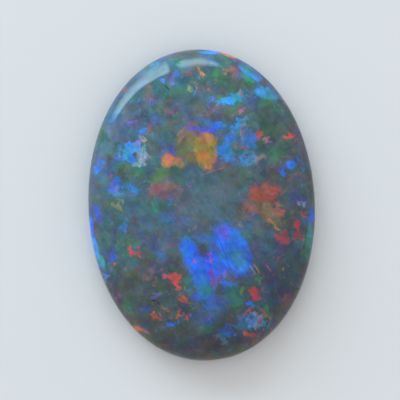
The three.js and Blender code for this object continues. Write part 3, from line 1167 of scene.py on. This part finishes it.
in_shares = own_measure(tree, in_mm, (HALF_WIDTH / MM, HALF_LENGTH / MM, NO_HEIGHT))
edge_share = vector_number(tree, "LENGTH", in_shares)
sides = add(tree, "ShaderNodeSeparateXYZ", {0: in_shares}).outputs
rightness = map_range(tree, sides[0], *LEFT_TO_RIGHT)
footness = map_range(tree, sides[1], *MIDDLE_TO_FOOT)
side_rim_shade = mix_colours(tree, LEFT_RIM_SHADE, RIGHT_RIM_SHADE, rightness)
rim_shade_and_glow = mix_colours(tree, side_rim_shade, FOOT_RIM_GLOW, footness)
wobble = maths(tree, "MULTIPLY_ADD", torn["Fray"], RIM_WOBBLE, edge_share)
rim_shade_cover = map_range(tree, wobble, RIM_STARTS, RIM_FULL, 0.0, RIM_STRENGTH, "SMOOTHSTEP")
# Lays the painted rim shade and glow over the flashes near the edge.
layers.append(mix_colours(tree, layers[-1], rim_shade_and_glow, rim_shade_cover))
print(f"the rim is layer {len(layers)}")

# %% [markdown]
# ## Patches at the edge
# A few patches lie right on the shoulder as thin bright arcs, over the dusky rim. They are partly the
# stone's own colour and partly a painted reflection of the colours inside, which the steep shoulder mirrors
# and draws out into streaks.

# %% Patches at the edge
# Bright arcs along the edge: partly flashes, partly a painted reflection of the inner colours in the rim.
flash("cyan edge upper", (-6.26, -0.95), (0.6, 0.09), -86, AZURE, BLUE, ragged=0.15, straight=True)
flash("cyan edge", (-6.1, -2.1), (0.85, 0.15), -79, AZURE, SKY, ragged=0.3, straight=True)
flash("cyan edge foot", (-5.82, -2.95), (0.5, 0.17), -71, TURQUOISE, SKY, ragged=0.5, straight=True)
flash("blue spot under the edge", (-5.65, -3.85), (0.24, 0.12), -65, SKY, AZURE, ragged=0.5)
line("blue line on the edge", (0.83, 8.62), (0.66, 0.07), -6, AZURE, SKY)
flash("blue bar under the line", (0.55, 8.4), (0.16, 0.08), -5, CORNFLOWER, ROYAL, ragged=0.2, strength=0.8)
flash("orange line on the edge", (2.04, 8.36), (0.66, 0.07), -20, ORANGE, CORAL, ragged=0.15, straight=True)
flash("rose on the edge", (-0.85, 8.6), (0.28, 0.08), 10, CORAL, ROSEWOOD, strength=0.7)
flash("cyan on the edge", (-2.6, 7.8), (0.72, 0.1), 30, SKY, TURQUOISE, strength=0.6)
flash("rose on the edge left", (-3.85, 7), (0.28, 0.08), 45, CORAL, ROSEWOOD, strength=0.7)
flash("violet line on the right edge", (6.14, -1.1), (0.62, 0.11), 81, ROYAL, AZURE, ragged=0.4,
      straight=True)
flash("cyan line on the right edge", (5.98, -2.3), (0.82, 0.15), 80, SKY, SEA, ragged=0.45, straight=True)
flash("sea line on the right edge", (5.78, -3.1), (0.5, 0.15), 72, SEA, LEAF, ragged=0.8, strength=0.85)
flash("green line low on the right", (3.15, -7.9), (0.4, 0.12), 35, LEAF, OLIVE, ragged=0.4, strength=0.7)
flash("orange arc on the edge", (-3.76, -6.92), (0.55, 0.08), -31, ORANGE, CORAL, ragged=0.2, straight=True)
flash("orange arc upper end", (-4.15, -6.7), (0.24, 0.04), -50, ORANGE, ROSEWOOD, ragged=0.3, strength=0.8)
flash("olive patch on the edge", (-2.7, -7.8), (0.32, 0.12), -5, OLIVE, RUST, strength=0.8)
print(f"patches at the edge: {len(layers)} layers")

# %% [markdown]
# ## Depth and lint
# Two sets of bright splinters come last, with three dark hairs of lint, one of them bent. Then the whole
# colour is made a little lighter and darker at several sizes, as packets at slightly different depths are.
# Its hue also drifts a little from place to place, least in the middle.

# %% Depth and lint
grain(35, (0.3, 0.1), 0.9, 0.8)
grain(-60, (0.34, 0.09), 0.9, 0.8)
line("lint at the top", (-1.65, 6.7), (0.22, 0.034), -50, LINT, LINT)
line("lint low on the left", (-2.98, -5.42), (0.17, 0.032), -3, LINT, LINT)
line("its bent end", (-2.73, -5.55), (0.14, 0.032), -48, LINT, LINT)
line("lint low on the right", (5.25, -5.05), (0.22, 0.032), 8, LINT, LINT)

# An oval in the middle where the hue drifts least.
QUIET_MIDDLE = (0.5, 0.1, 0)
QUIET_REACH = (2.6, 1.9, NO_HEIGHT)
QUIET_TURN = math.radians(30)
QUIET_FADE = (0.4, 1.2)
LEAST_DRIFT = 0.3
DRIFT_GAIN = (1.8, 1.4, 1.7)
DRIFT_LEVEL = (0.07, 0.25, 0.06)
VEINS_PER_MM = 1.9
VEIN_RANGE = (0.3, 0.7)
VEIN_TONES = (0.76, 1.34)
VEIN_ROUGHNESS = (0.45, 0.65)
STROKE_DEPTH = 0.1

veins = noise(tree, even_place, VEINS_PER_MM, 6.0, 0.65)["Fac"]
depth = map_range(tree, veins, *VEIN_RANGE, *VEIN_TONES)
silky = maths(tree, "MULTIPLY_ADD", LEANING, STROKE_DEPTH, depth)
deep = scaled(tree, layers[-1], silky)
drift = vector_maths(tree, "MULTIPLY_ADD", torn["Play"], DRIFT_GAIN, DRIFT_LEVEL)
quiet_measure = own_measure(tree, in_mm, QUIET_REACH, (0, 0, QUIET_TURN), QUIET_MIDDLE)
from_quiet_middle = vector_number(tree, "LENGTH", quiet_measure)
lively = map_range(tree, from_quiet_middle, *QUIET_FADE, LEAST_DRIFT, 1.0)
tint = mix_colours(tree, WHITE, drift, lively)
tinted = vector_maths(tree, "MULTIPLY", deep, tint)
tree.links.new(tinted, shader.inputs["Base Color"])
shader.inputs["Specular IOR Level"].default_value = 0.0
silk = map_range(tree, veins, *VEIN_RANGE, *VEIN_ROUGHNESS)
tree.links.new(silk, shader.inputs["Roughness"])
colour_body.data.materials.append(paint)
print(f"{len(layers)} layers of colour, {len(tree.nodes)} nodes")
